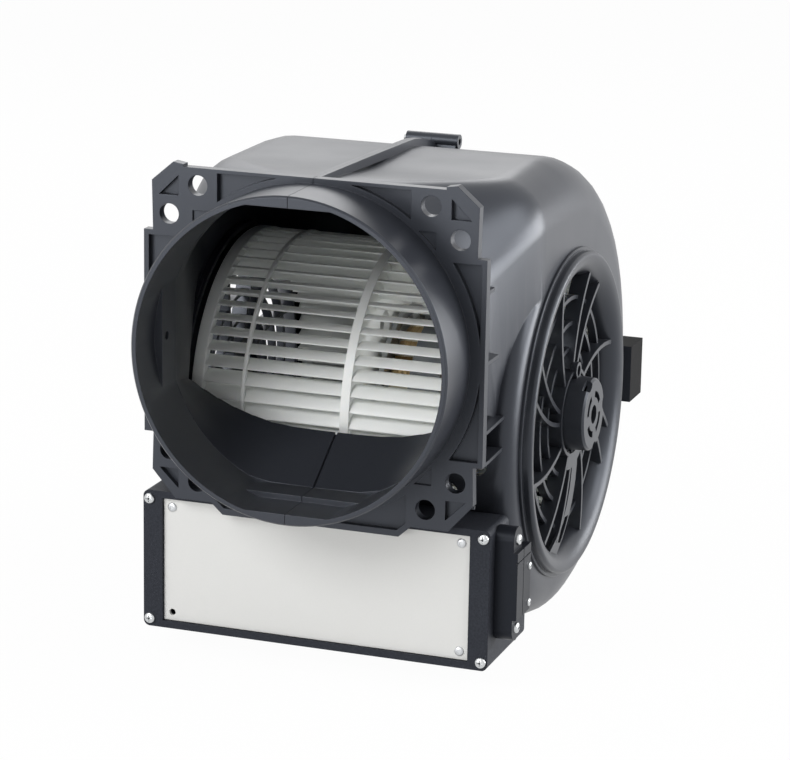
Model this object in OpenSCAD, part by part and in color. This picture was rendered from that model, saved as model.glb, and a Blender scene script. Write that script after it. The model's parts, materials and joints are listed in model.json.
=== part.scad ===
// Double-inlet centrifugal blower: split scroll housing, drum impeller on an inner motor, and a control box.
// Origin: centre of the outlet on the front face of its flange. X runs along the fan axis, the air leaves
// along -Y, and Z is up. Sizes are in millimetres.

/* [Outlet] */
// Outside diameter of the outlet collar
collar_d = 150; // [142:1:152]
// Wall of the outlet collar
collar_wall = 2.6; // [2:0.1:3.4]
// Length of the collar in front of the flange
collar_length = 31; // [20:1:45]
// Depth of the outlet flange
flange_t = 5; // [4:0.5:7]
// Shorter distance of a bolt hole from the outlet's centre lines
hole_near = 55.5; // [54:0.5:58]
// Longer distance of a bolt hole from the outlet's centre lines
hole_far = 69.5; // [67:0.5:73]
// Diameter of the flange bolt holes
hole_d = 9.4; // [5:0.1:10]

/* [Scroll] */
// Distance of the fan axis behind the flange
axis_back = 119; // [114:1:128]
// Distance of the fan axis below the outlet's centre
axis_drop = 50.5; // [46:0.5:54]
// Gap between impeller and scroll at the cut-off tongue
tongue_gap = 10; // [8:0.5:13]
// How much the scroll's radius grows from tongue to roof
scroll_rise = 33; // [28:1:38]
// Largest radius of the scroll's rounded side edges
edge_r = 25; // [18:1:28]
// Wall of the housing
wall = 2.5; // [2:0.1:3]
// Gap between the impeller's ends and the scroll's side walls
side_gap = 6; // [5:0.5:9]
// Height of the seam ribs above the scroll
rib_h = 3.5; // [2.5:0.5:5]
// Thickness of each of the two seam ribs
rib_t = 2.2; // [1.6:0.1:3]

/* [Impeller] */
// Outside diameter of the impeller
impeller_d = 151; // [146:1:154]
// Length of the impeller over its end bands
impeller_w = 156; // [148:1:168]
// Number of blades around the impeller
blade_count = 62; // [40:1:64]
// Radial depth of the blades
blade_depth = 11; // [9:0.5:13]
// Thickness of a blade
blade_t = 1.2; // [0.9:0.1:1.6]
// Width of the bands at the impeller's ends
band_w = 6; // [4:0.5:8]

/* [Inlets] */
// Diameter of the inlet throats
throat_d = 131; // [124:1:134]
// Height of the inlet lips above the side walls
lip_h = 5.6; // [5:0.1:7.5]
// Width of the grille spokes
spoke_w = 2; // [1.6:0.1:3]
// Diameter of the hub boss that carries the motor
hub_d = 36; // [34:1:38]
// Height of the hub face above the side wall
hub_h = 12.5; // [10:0.5:16]

/* [Motor] */
// Outside diameter of the stator
stator_d = 88; // [82:1:94]
// Thickness of the lamination stack
stack_t = 15; // [12:1:20]
// Length of each winding head
head_l = 12.5; // [10:0.5:14]
// Diameter of the rotor
rotor_d = 44; // [40:1:46]
// Diameter of the shaft
shaft_d = 8; // [6:0.5:9]

/* [Control box] */
// Width of the control box
box_w = 170; // [164:1:176]
// Height of the control box
box_h = 66.7; // [64:0.5:72]
// Depth of the control box behind the flange
box_depth = 56; // [52:1:60]
// Width of the frame beside the face plate
side_band = 9.8; // [9.4:0.2:13]
// Width of the frame above and below the face plate
top_band = 3.6; // [3:0.2:6]
// How far the face plate lies behind the frame's front
plate_recess = 1.6; // [1:0.1:2.5]
// How far the terminal cover stands out of the box side
cover_out = 11; // [9:0.5:14]

/* [Fits] */
// Gap around pieces that are set into one another
fit_gap = 0.2; // [0.1:0.05:0.3]
// Radial running gap between shaft and bushes
run_gap = 0.03; // [0.02:0.01:0.08]

/* [Hidden] */
$fn = 64;
collar_r = collar_d / 2;
duct_r = collar_r - collar_wall;
axis_z = -axis_drop;
wheel_r = impeller_d / 2;
wheel_end = impeller_w / 2;
half_w = wheel_end + side_gap + wall;
front_r = wheel_r + tongue_gap + wall;
hole_r = wheel_r + 2.3;
seat_r = hole_r + 1.2;
roof_z = axis_z + front_r + scroll_rise;
throat_y = 0.63 * axis_back;
floor_r = 620;
floor_z = axis_z + 11;
floor_share = 0.6;
floor_y = flange_t + floor_share * (throat_y - flange_t);
sill = 5.4;
scroll_start = -70;
scroll_steps = 48;
edge_steps = 8;
rib_start = 118;
neck_half = collar_r - 4;
neck_turn = acos(neck_half / collar_r);
neck_steps = 10;
tuck = 0.01;
side_flat = duct_r * neck_half / collar_r;
side_flat_l = 10;
lip_flat = duct_r - 2.8;
lip_flat_l = 9;
pad_half = hole_far + 8;
tab_half = hole_near - 7;
side_half = collar_r + 7;
tab_low = collar_r + 8.7;
rim = 2.4;
pocket = flange_t - 2;
web_w = 1.6;
shaft_r = shaft_d / 2;
bush_r = shaft_r + 2.5;
boss_angles = [249, 190, 130];
boss_r = 3.6;
boss_half = 13.5;
seam_screw_r = 1.5;
web_t = 4.5;
web_x = 2;
web_sink = 1.5;
motor_x = web_x + web_sink;
bracket_t = 2.5;
head_gap = 0.5;
stack_x = motor_x + bracket_t + head_gap + head_l;
bracket_x = stack_x + stack_t + head_l + head_gap;
damper_x = bracket_x + bracket_t;
damper_t = 3;
carrier_x = damper_x + damper_t;
carrier_t = 2.5;
bolt_circle = stator_d / 2 - 4;
bolt_r = 2;
carrier_r = 27;
carrier_screw_at = 23.4;
throat_r = throat_d / 2;
bell_r = hole_r - 2.2 - throat_r;
bell_l = lip_h + 7;
shoulder_r = 2;
shoulder_h = 2;
foot_h = 1.5;
hub_r = hub_d / 2;
cup_r = hub_r + 3.5;
spoke_x = half_w - 6;
spoke_l = 8;
spoke_angles = [17, 54, 70];
plate_angles = [115, 5, -81];
box_front = flange_t + fit_gap;
box_top = -collar_r - 2.7;
box_low = box_top - box_h;
frame_back = box_front + plate_recess + 3;
box_back = box_front + box_depth;
box_wall = 2.2;
box_edge = 3;
box_clear = 0.8;
plate_z = (box_top + box_low) / 2;
plate_w = box_w - 2 * side_band;
plate_h = box_h - 2 * top_band;
plate_t = 1.5;
frame_screw_x = box_w / 2 - 3.2;
frame_screw_z = box_h / 2 - 4;
rivet_x = plate_w / 2 - 4.2;
rivet_z = plate_h / 2 - 4;
screw_r = 1.5;
screw_head_r = 2.6;
screw_head_h = 1.7;
cover_x = box_w / 2;
cover_y = box_front + 7;
cover_d = 20;
cover_top = box_top - 0.17 * box_h;
cover_h = 0.48 * box_h;
ear_d = 12;
ear_h = 10;
ear_out = cover_out - 2;
ear_heights = [cover_top + ear_h / 2, cover_top - cover_h - ear_h / 2];
edge_heights = [cover_top - 0.34 * cover_h, cover_top - 0.89 * cover_h];
edge_y = cover_y + cover_d - 1.5;
edge_screw_r = 0.9;
post_h = 5;
board_w = 0.7 * box_w;
board_t = 1.6;
board_z = box_low + box_wall + post_h;
parts_z = board_z + board_t;
parts_y = frame_back + 6;
core_w = 0.22 * box_w;
core_h = 0.42 * box_h;
coil_w = 0.7 * core_w;
coil_h = 0.7 * core_h;
core_d = 10;
relay_pitch = 0.1 * box_w;
relay_h = 0.22 * box_h;
can_r = 0.105 * box_h;
can_l = 0.26 * box_w;

// Outer radius of the scroll at an angle from its tongue
function spiral(a) = front_r + scroll_rise * pow(sin(max(a, 0) / 3), 1.15);

// Radius of the scroll's side edge at an angle from its tongue
function edge(a) = min(edge_r, spiral(a) - seat_r - 1);

// Half cross-section of the scroll as radius and width, set back by a skin
function scroll_section(a, inner, skin, low) =
  let(r = spiral(a) - skin, w = half_w - skin, e = max(edge(a) - skin, 1))
  concat(
    [[inner, low], [inner, w]],
    [for (i = [0:edge_steps]) [r - e + e * sin(90 * i / edge_steps), w - e + e * cos(90 * i / edge_steps)]],
    [[r, low]]
  );

// Cross-section of the seam rib as radius and width
function rib_section(a) =
  [[spiral(a) - 1, 0], [spiral(a) - 1, rib_t], [spiral(a) + rib_h, rib_t], [spiral(a) + rib_h, 0]];

// A section's points set around the fan axis
function around(a, section) = [for (p = section) [-p[0] * cos(a), -p[0] * sin(a), p[1]]];

// Sections of the scroll from its tongue to the roof
function scroll_rows(inner, skin, low) =
  [for (k = [0:scroll_steps])
    let(a = step(k, scroll_start, 270, scroll_steps)) around(a, scroll_section(a, inner, skin, low))];

// Half outline of the duct where it meets the scroll, set back by a skin
function throat_points(skin) =
  let(
    w = half_w - skin,
    e = edge_r - skin,
    top = roof_z - skin,
    r = floor_r + wall - skin,
    reach = asin(w / r) / edge_steps,
    turn = 90 / edge_steps
  )
  concat(
    [for (i = [0:edge_steps]) [r * sin(reach * i), floor_z + floor_r - r * cos(reach * i)]],
    [for (i = [0:edge_steps]) [w - e + e * cos(turn * i), top - e + e * sin(turn * i)]],
    [[0, top]]
  );

// Half outline of the duct's mouth: an arc with a sill below the flat flank and one above it
function mouth_points(r) =
  concat(
    [for (i = [0:edge_steps])
      let(p = polar(r, step(i, -90, -neck_turn, edge_steps)))
      [p[0], max(p[1], sill - r + pow(p[0] / 40, 2))]],
    [for (i = [0:edge_steps + 1]) polar(r, step(i, neck_turn, 90, edge_steps + 1))]
  );

// Half outline of the duct at a share of the way from its mouth to the scroll
function neck_points(t, r, skin) =
  let(
    from = mouth_points(r),
    to = throat_points(skin),
    eased = t * t * (3 - 2 * t),
    rise = min(t / floor_share, 1)
  )
  [for (i = [0:len(to) - 1])
    let(way = to[i] - from[i])
    from[i] + (i > edge_steps ? way * eased : [way[0] * t, way[1] * rise])];

// Sections of the duct from the fan axis to the flange, reaching past the seam and the flange by a margin
function duct_rows(r, skin, past) =
  let(
    neck = [for (k = [neck_steps:-1:0]) [step(k, flange_t, throat_y, neck_steps), k / neck_steps]],
    ahead = past > 0 ? [[flange_t - past, 0]] : []
  )
  [for (s = concat([[axis_back + 10 * tuck, 1]], neck, ahead))
    let(
      half = neck_points(s[1], r, skin),
      top = half[len(half) - 1][1],
      beyond = past > 0 ? [[-past, top], [-past, half[0][1]]] : []
    )
    [for (p = concat(half, beyond)) [p[0], s[0], p[1]]]];

// Value after a number of steps between two values
function step(k, from, to, steps) = from + (to - from) * k / steps;

// Centre of an arc that turns left from p to q
function arc_centre(p, q, r) =
  let(d = q - p, h = norm(d) / 2)
  (p + q) / 2 + sqrt(r * r - h * h) * [-d[1], d[0]] / (2 * h);

// Point at a radius and an angle
function polar(r, a) = [r * cos(a), r * sin(a)];

// Solid through a row of like sections
module loft(rows) {
  n = len(rows[0]);
  last = len(rows) - 1;
  sides = [
    for (i = [0:last - 1], j = [0:n - 1])
      let(a = i * n + j, b = i * n + (j + 1) % n) each [[a, b + n, b], [a, a + n, b + n]]
  ];
  ends = [[for (j = [0:n - 1]) j], [for (j = [0:n - 1]) last * n + n - 1 - j]];
  polyhedron([for (row = rows) each row], concat(sides, ends));
}

// Frame whose Z runs along the fan axis and whose X and Y are the part's Y and Z
module on_axis(x = 0) {
  translate([x, axis_back, axis_z]) rotate([90, 0, 90]) children();
}

// Outline in X and Z, made solid from y backwards
module from_front(y, depth) {
  translate([0, y + depth, 0]) rotate([90, 0, 0]) linear_extrude(depth) children();
}

// Outline in Y and Z, made solid from x to the right
module from_left(x, width) {
  translate([x, 0, 0]) rotate([90, 0, 90]) linear_extrude(width) children();
}

// Round bar forward from y along -Y
module bar_forward(x, y, z, r, l) {
  translate([x, y, z]) rotate([90, 0, 0]) cylinder(r = r, h = l);
}

// Bar of rectangular section along an arc from p to q
module arc_bar(p, q, r, w, h) {
  c = arc_centre(p, q, r);
  span = 2 * asin(norm(q - p) / 2 / r);
  translate([c[0], c[1], 0])
    rotate_extrude(angle = span, start = atan2(p[1] - c[1], p[0] - c[0]))
      translate([r - w / 2, 0]) square([w, h]);
}

// Pan-head screw along Z with its head above the origin
module screw(r, head_r, head_h, l) {
  translate([0, 0, -l]) cylinder(r = r, h = l);
  rotate_extrude()
    polygon([[0, 0], [head_r, 0], [head_r, head_h * 0.45], [head_r * 0.6, head_h], [0, head_h]]);
}

// Right half of the housing before it is hollowed
module scroll_body() {
  on_axis() loft(scroll_rows(seat_r - 8, 0, 0));
  loft(duct_rows(collar_r, tuck, 0));
}

// Round side of the mouth, which runs out into the duct's flat flank
module duct_bulge() {
  from_front(flange_t, 30)
    intersection() {
      circle(collar_r);
      translate([collar_r - 20, -23.5]) square([30, 47]);
    }
}

// Air space of the right half
module scroll_space() {
  on_axis(-1) cylinder(r = seat_r, h = half_w - wall + 1);
  on_axis() loft(scroll_rows(seat_r - 18, wall, -1));
  loft(duct_rows(duct_r, wall + tuck, 1));
}

// Groove along the seam in the duct's floor
module floor_groove() {
  from_left(-1, 1.55)
    polygon([
      [flange_t - 1, sill - duct_r - 1], [flange_t, sill - duct_r - 1], [floor_y, floor_z - 1],
      [floor_y, floor_z + 1], [flange_t - 1, sill - duct_r + 1]
    ]);
}

// Flange bolt holes, reaching forward from y
module bolt_holes(y) {
  for (sx = [hole_near, hole_far], sz = [-1, 1])
    bar_forward(sx, y, sz * (hole_near + hole_far - sx), hole_d / 2, y + 10);
}

// Right half of the flange outline
module flange_outline() {
  polygon([
    [0, pad_half], [hole_near + 7, pad_half], [hole_near + 7, pad_half + 1.2], [hole_near + 12, pad_half + 2],
    [pad_half + 0.5, hole_far + 1], [pad_half, tab_half - 1], [side_half, tab_half - 1],
    [side_half, 1 - tab_half], [pad_half, 1 - tab_half], [pad_half + 0.5, 4 - hole_far],
    [hole_near + 11, -pad_half - 1], [tab_half, -pad_half - 1], [tab_half, -tab_low + 5],
    [tab_half - 5.5, -tab_low], [0, -tab_low]
  ]);
}

// Sunk fields between the rims of the right half of the flange
module flange_pockets() {
  difference() {
    translate([collar_r - 12, rim - tab_half + 1])
      square([side_half - rim - collar_r + 12, 2 * (tab_half - rim - 1)]);
    circle(side_half - rim + 0.4);
  }
  difference() {
    translate([12, collar_r - 20]) square([tab_half - rim - 12, pad_half - 1.7 - collar_r + 20]);
    circle(pad_half + 0.3);
  }
  difference() {
    polygon([
      [rim, -tab_low + 3], [tab_half - rim - 4, -tab_low + 3], [tab_half - rim, -tab_low + 6.5],
      [tab_half - rim, 20 - tab_low], [rim, 20 - tab_low]
    ]);
    circle(collar_r + 3.4);
  }
  for (s = [1, -1])
    polygon([
      [hole_near + 9.5, s * (hole_near + 8.7)], [hole_near + 19, s * (hole_near + 8.7)],
      [hole_near + 9.5, s * (hole_near + 18)]
    ]);
}

// Right half of the flange before its openings are cut
module flange_half() {
  difference() {
    from_front(0, flange_t) flange_outline();
    from_front(-1, pocket + 1) flange_pockets();
    for (s = [1, -1])
      from_front(-1, 2) difference() {
        translate([tab_half, s > 0 ? tab_half : -tab_half - 9.5]) square(9.5);
        circle(collar_r + 1.5);
      }
  }
  translate([0, 0, 1.5 - hole_far])
    linear_extrude(web_w)
      polygon([
        [pad_half - 14, flange_t - 1], [pad_half, flange_t - 1], [pad_half, flange_t],
        [pad_half - 6, flange_t + 8]
      ]);
}

// Opening of the collar, with a flat above at its lip and flat flanks at the flange
module collar_bore() {
  from_front(-collar_length - 1, lip_flat_l + 2)
    intersection() {
      circle(duct_r);
      square([2 * duct_r, 2 * lip_flat], center = true);
    }
  from_front(lip_flat_l - collar_length, collar_length - lip_flat_l - side_flat_l)
    intersection() {
      circle(duct_r);
      translate([-duct_r, -lip_flat]) square(2 * duct_r);
    }
  from_front(-side_flat_l - 1, side_flat_l + flange_t + 2)
    intersection() {
      circle(duct_r);
      translate([-side_flat, sill - duct_r]) square([2 * side_flat, 2 * duct_r]);
    }
}

// Right half of the flange with the collar
module outlet_half() {
  difference() {
    union() {
      flange_half();
      rotate([90, 0, 0])
        rotate_extrude(angle = 180, start = -90)
          polygon([
            [duct_r - 8, -flange_t], [collar_r, -flange_t], [collar_r, collar_length - 1],
            [collar_r - 0.8, collar_length], [duct_r - 8, collar_length]
          ]);
    }
    collar_bore();
    bolt_holes(flange_t + 1);
    translate([side_flat - 1, -side_flat_l / 2, 0]) rotate([0, 90, 0]) cylinder(r = 2, h = 2.5);
    translate([-1, -collar_length - 1, -2 * collar_r])
      cube([1 + fit_gap / 2, collar_length + flange_t + 2, 4 * collar_r]);
  }
}

// Flange and collar of the right housing half
module outlet_right() {
  color("#26272a") outlet_half();
}

// Flange and collar of the left housing half
module outlet_left() {
  color("#26272a") mirror([1, 0, 0]) outlet_half();
}

// Stiffening webs between flange and duct
module flange_webs() {
  for (web = [[tab_half - 17, 7], [-1, 15]])
    translate([0, 0, web[0]])
      linear_extrude(web_w)
        polygon([
          [collar_r - 8, flange_t], [side_half, flange_t], [side_half, flange_t + web[1]],
          [collar_r - 3, flange_t + web[1] + 3]
        ]);
  for (z = [-33, -47.5])
    translate([0, 0, z])
      linear_extrude(web_w)
        polygon([
          [collar_r - 20, flange_t], [side_half, flange_t], [side_half, flange_t + 4],
          [side_half - 1, axis_back - front_r + 3], [collar_r - 20, axis_back - front_r + 3]
        ]);
}

// Double rib's right half along the seam, with its screw bosses
module seam() {
  on_axis()
    loft([for (k = [0:30]) let(a = step(k, rib_start, 270, 30)) around(a, rib_section(a))]);
  from_left(0, rib_t)
    polygon([
      [flange_t, collar_r - 1], [flange_t, pad_half], [axis_back / 2, roof_z + rib_h + 2],
      [axis_back, roof_z + rib_h], [axis_back, roof_z - 1]
    ]);
  for (a = boss_angles)
    on_axis() rotate([0, 0, a]) translate([-spiral(a) - rib_h - 1.8, 0, 0]) {
      cylinder(r = boss_r, h = boss_half);
      translate([0, -boss_r * 0.7, 0]) cube([rib_h + 3, boss_r * 1.4, boss_half - 1]);
    }
}

// Right half of the housing without what only one half has
module housing_half() {
  difference() {
    union() {
      scroll_body();
      duct_bulge();
      flange_webs();
      seam();
      translate([half_w - 26, axis_back + front_r + 14, axis_z - 20.5]) cube([28.5, 21, 29]);
    }
    scroll_space();
    floor_groove();
    on_axis() cylinder(r = hole_r, h = half_w + 1);
    bolt_holes(flange_t + 30);
    for (a = boss_angles)
      on_axis(-1) rotate([0, 0, a]) translate([-spiral(a) - rib_h - 1.8, 0, 0])
        cylinder(r = seam_screw_r + fit_gap / 2, h = boss_half + 2);
  }
}

// Right half of the scroll housing with its half of the duct
module housing_right() {
  color("#26272a") housing_half();
}

// Left half of the scroll housing with its half of the duct
module housing_left() {
  color("#26272a") mirror([1, 0, 0]) housing_half();
}

// Self-tapping screws that draw the halves together
module seam_screws() {
  color("#b9bcc0")
    for (a = boss_angles)
      on_axis(-boss_half) rotate([0, 0, a]) translate([-spiral(a) - rib_h - 1.8, 0, 0])
        rotate([180, 0, 0]) screw(seam_screw_r, screw_head_r, screw_head_h, 2 * boss_half - 5);
}

// Profile of the inlet ring as radius and width above the side wall
module ring_profile() {
  turns = [for (i = [0:8]) 90 * i / 8];
  crest_r = throat_r + bell_r;
  polygon(concat(
    [[hole_r - fit_gap, -6], [hole_r - fit_gap, 0], [seat_r + 0.5, 0], [seat_r + 0.5, foot_h - 0.4]],
    [[seat_r + 0.1, foot_h], [crest_r + shoulder_r, foot_h]],
    [for (t = turns) [crest_r + shoulder_r * cos(t), lip_h - shoulder_h * (1 - sin(t))]],
    [for (i = [1:8]) [crest_r - bell_r * sin(turns[i]), lip_h - bell_l * (1 - cos(turns[i]))]],
    [for (i = [8:-1:0])
      let(t = turns[i]) [crest_r - (bell_r - 2) * sin(t), lip_h - bell_l * (1 - cos(t)) - 2 * cos(t)]],
    [[crest_r, -6]]
  ));
}

// Inlet ring with curved spokes and guard rings
module inlet_grille() {
  on_axis(half_w) rotate_extrude() ring_profile();
  for (k = [0:3])
    on_axis(half_w - wall - 2.3) rotate([0, 0, 90 * k + 40])
      rotate_extrude(angle = 9) translate([hole_r - 1.5, 0]) square([2.6, 2]);
  for (k = [0:3], a = spoke_angles)
    on_axis(spoke_x) arc_bar(
      polar(throat_r + 2, 90 * k + a), polar(hub_r + 1, 90 * k + a + 24), 75, spoke_w, spoke_l
    );
  for (r = [0.24, 0.5, 0.76])
    on_axis(spoke_x + 1) rotate_extrude() translate([hub_r + r * (throat_r - hub_r), 0]) square([2, 4]);
}

// Angles of the lead arm's two edges at a radius
function arm_edges(r) = [275 - 0.104 * pow(max(r - 23, 0), 1.5), 293 - 0.96 * (r - 27)];

// Stretch of the lead arm between two radii, set back from its edges by a rim
module arm_stretch(from, to, rim) {
  radii = [for (k = [0:6]) step(k, from, to, 6)];
  polygon(concat(
    [for (r = radii) polar(r, arm_edges(r)[0] + asin(rim / r))],
    [for (k = [6:-1:0]) let(r = radii[k]) polar(r, arm_edges(r)[1] - asin(rim / r))]
  ));
}

// Flat arm that leads the motor's wires from the hub to the inlet ring
module lead_arm() {
  on_axis(half_w + 0.5)
    linear_extrude(1.5)
      difference() {
        arm_stretch(cup_r + 1, throat_r + 3, 0);
        arm_stretch(51, 63, 1.5);
      }
  on_axis(half_w + 0.5)
    rotate_extrude(angle = 50, start = 256) translate([cup_r - 1, 0]) square([7.5, 1.5]);
}

// Hub boss with its cup and the pierced plate on its face
module motor_hub() {
  difference() {
    on_axis(half_w)
      rotate_extrude()
        polygon([
          [hub_r - 2, carrier_x + carrier_t - half_w], [hub_r, carrier_x + carrier_t - half_w],
          [hub_r, -6], [cup_r, -6], [cup_r, 3], [cup_r - 1.6, 3], [cup_r - 1.6, 0.5], [hub_r, 0.5],
          [hub_r - 0.5, hub_h - 1], [hub_r - 1.5, hub_h], [4.5, hub_h], [4.5, hub_h - 2.4],
          [hub_r - 2.6, hub_h - 2.4], [hub_r - 2, -6]
        ]);
    for (k = [0:3])
      on_axis(half_w + hub_h - 3) rotate_extrude(angle = 58, start = 90 * k + 26)
        translate([8.2, 0]) square([3, 4]);
    for (a = plate_angles)
      on_axis(half_w + hub_h - 3) rotate([0, 0, a]) translate([hub_r + 0.5, 0, 0]) cylinder(r = 4, h = 4);
  }
  on_axis(half_w + 1.5)
    rotate([0, 0, 90])
      translate([cup_r - 0.8, 0, 0])
        difference() {
          cylinder(r = 4.2, h = 3);
          translate([0, 0, 0.6]) cylinder(r = 2.6, h = 3);
        }
}

// Motor side inlet grille with the motor carrier and the lead's arm
module grille_right() {
  color("#222326")
    difference() {
      union() {
        inlet_grille();
        motor_hub();
        lead_arm();
        on_axis(carrier_x)
          rotate_extrude() translate([bush_r + 2.5, 0]) square([carrier_r - bush_r - 2.5, carrier_t]);
      }
      for (k = [0:2])
        on_axis(carrier_x - 1) rotate([0, 0, 120 * k + 30]) translate([carrier_screw_at, 0, 0])
          cylinder(r = screw_r + fit_gap, h = carrier_t + 2);
    }
}

// Inlet grille of the side without a motor
module grille_left() {
  color("#222326")
    mirror([1, 0, 0]) {
      inlet_grille();
      on_axis(half_w)
        rotate_extrude()
          polygon([
            [0, -3], [hub_r - 2, -3], [hub_r - 2, -6], [hub_r + 2, -6], [hub_r + 2, 1], [hub_r, 2.2], [0, 3.4]
          ]);
    }
}

// Blades from x over a length, with the rings that tie their tips
module blade_cage(x, l) {
  for (k = [0:blade_count - 1])
    on_axis(x) rotate([0, 0, 360 * k / blade_count])
      arc_bar([wheel_r - blade_depth, 0], polar(wheel_r - 0.6, 5), 0.86 * blade_depth, blade_t, l - 1);
  on_axis(x + l - band_w)
    rotate_extrude() translate([wheel_r - 4.5, 0]) square([4.5, band_w]);
  on_axis(x + 0.64 * l)
    rotate_extrude() translate([wheel_r - 2.5, 0]) square([2.5, 2]);
}

// Blade cage on the motor side of the web
module impeller_right() {
  color("#e4e2da") blade_cage(web_x, wheel_end - web_x);
}

// Blade cage on the open side of the web
module impeller_left() {
  color("#e4e2da")
    translate([2 * web_x - web_t, 0, 0]) mirror([1, 0, 0])
      blade_cage(web_x, wheel_end + web_x - web_t);
}

// Disc that carries both blade cages, with its hub
module impeller_web() {
  color("#e4e2da")
    difference() {
      on_axis(web_x - web_t)
        rotate_extrude()
          polygon([
            [shaft_r + 0.02, -16], [11, -16], [12, -4], [18, 0], [wheel_r, 0], [wheel_r, web_t],
            [wheel_r - blade_depth - 1, web_t], [wheel_r - blade_depth - 2, web_t - web_sink],
            [shaft_r + 0.02, web_t - web_sink]
          ]);
      for (k = [0:5])
        on_axis(web_x - web_t - 1) rotate([0, 0, 60 * k]) translate([wheel_r * 0.6, 0, 0])
          cylinder(r = 7, h = web_t + 2);
    }
}

// Nut that holds the impeller on the shaft
module impeller_nut() {
  color("#b9bcc0")
    on_axis(web_x - web_t - 16 - 5)
      difference() {
        cylinder(r = 7.5, h = 5, $fn = 6);
        translate([0, 0, -1]) cylinder(r = shaft_r + 0.02, h = 7);
      }
}

// Motor and impeller shaft
module shaft() {
  color("#c9ccd0")
    on_axis(web_x - web_t - 23) cylinder(r = shaft_r, h = damper_x + 4 - web_x + web_t + 23);
}

// Squirrel-cage rotor pressed on the shaft
module rotor_core() {
  color("#8d9196")
    on_axis(stack_x)
      rotate_extrude()
        polygon([
          [shaft_r + 0.02, 0], [rotor_d / 2 - 5, 0], [rotor_d / 2 - 5, -3], [rotor_d / 2 - 1, -3],
          [rotor_d / 2 - 1, 0], [rotor_d / 2, 0], [rotor_d / 2, stack_t], [rotor_d / 2 - 1, stack_t],
          [rotor_d / 2 - 1, stack_t + 3], [rotor_d / 2 - 5, stack_t + 3], [rotor_d / 2 - 5, stack_t],
          [shaft_r + 0.02, stack_t]
        ]);
}

// Places of the four motor bolts
module at_bolts() {
  for (k = [0:3]) rotate([0, 0, 90 * k + 45]) translate([bolt_circle, 0, 0]) children();
}

// Lamination stack of the stator
module stator_core() {
  color("#7d8085")
    on_axis(stack_x)
      difference() {
        cylinder(r = stator_d / 2, h = stack_t);
        translate([0, 0, -1]) cylinder(r = rotor_d / 2 + 0.4, h = stack_t + 2);
        translate([0, 0, -1]) at_bolts() cylinder(r = bolt_r + fit_gap / 2, h = stack_t + 2);
        for (k = [0:3])
          rotate([0, 0, 90 * k]) translate([stator_d / 2 - 1.5, -9, -1]) cube([3, 18, stack_t + 2]);
      }
}

// Winding heads on both faces of the stack
module windings() {
  color("#b98a52")
    for (x = [stack_x - head_l, stack_x + stack_t])
      on_axis(x)
        rotate_extrude()
          translate([rotor_d / 2 + 2.5, 0]) {
            translate([0, 2]) square([bolt_circle - rotor_d / 2 - 6, head_l - 4]);
            translate([2, 0]) square([bolt_circle - rotor_d / 2 - 10, head_l]);
            for (u = [2, bolt_circle - rotor_d / 2 - 8], v = [2, head_l - 2]) translate([u, v]) circle(2);
          }
}

// Bearing bracket with a boss on one face and four windows
module bracket(boss_l) {
  difference() {
    union() {
      cylinder(r = stator_d / 2, h = bracket_t);
      cylinder(r = bush_r + 2, h = boss_l);
    }
    translate([0, 0, -1]) cylinder(r = bush_r + 0.02, h = boss_l + 2);
    translate([0, 0, -1]) at_bolts() cylinder(r = bolt_r + fit_gap / 2, h = bracket_t + 2);
    for (k = [0:3])
      translate([0, 0, -1]) rotate_extrude(angle = 60, start = 90 * k - 30)
        translate([bush_r + 6, 0]) square([stator_d / 2 - bush_r - 10, bracket_t + 2]);
  }
}

// Bearing bracket on the impeller side
module bracket_front() {
  color("#a7aaae") on_axis(motor_x) bracket(8);
}

// Bearing bracket on the carrier side
module bracket_rear() {
  color("#a7aaae")
    on_axis(damper_x) rotate([180, 0, 0]) difference() {
      bracket(8);
      for (k = [0:2])
        rotate([0, 0, -120 * k - 30]) translate([carrier_screw_at, 0, -1])
          cylinder(r = screw_r + 0.05, h = bracket_t + 2);
    }
}

// Sintered bush of the front bracket
module bush_front() {
  color("#9a7b4a")
    on_axis(motor_x)
      rotate_extrude() translate([shaft_r + run_gap, 0]) square([bush_r - shaft_r - run_gap, 8]);
}

// Sintered bush of the rear bracket
module bush_rear() {
  color("#9a7b4a")
    on_axis(damper_x - 8)
      rotate_extrude() translate([shaft_r + run_gap, 0]) square([bush_r - shaft_r - run_gap, 8]);
}

// Bolts with nuts that clamp brackets and stack
module motor_bolts() {
  color("#b9bcc0")
    on_axis(motor_x) at_bolts() {
      cylinder(r = bolt_r, h = damper_x - motor_x);
      translate([0, 0, -2]) cylinder(r = 3.4, h = 2);
      translate([0, 0, damper_x - motor_x]) cylinder(r = 3.8, h = 2.4, $fn = 6);
    }
}

// Rubber ring between motor and carrier
module motor_damper() {
  color("#2b2b2b")
    on_axis(damper_x)
      difference() {
        cylinder(r = carrier_r, h = damper_t);
        translate([0, 0, -1]) cylinder(r = bush_r + 2.5, h = damper_t + 2);
        for (k = [0:2])
          rotate([0, 0, 120 * k + 30]) translate([carrier_screw_at, 0, -1])
            cylinder(r = screw_r + fit_gap, h = damper_t + 2);
      }
}

// Screws that hang the motor on its carrier
module motor_screws() {
  color("#b9bcc0")
    on_axis(carrier_x + carrier_t)
      for (k = [0:2])
        rotate([0, 0, 120 * k + 30]) translate([carrier_screw_at, 0, 0])
          screw(screw_r, screw_head_r, screw_head_h, carrier_t + damper_t + bracket_t);
}

// Side outline of the control box, set back by a skin
module box_outline(skin) {
  difference() {
    translate([frame_back - 1 + (skin > 0 ? 0 : 1), box_low + skin])
      square([box_back - frame_back - skin + (skin > 0 ? 1 : 0), box_h - 2 * skin]);
    translate([axis_back, axis_z - scroll_rise / 3]) circle(front_r + box_clear + skin, $fn = 128);
  }
}

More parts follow.
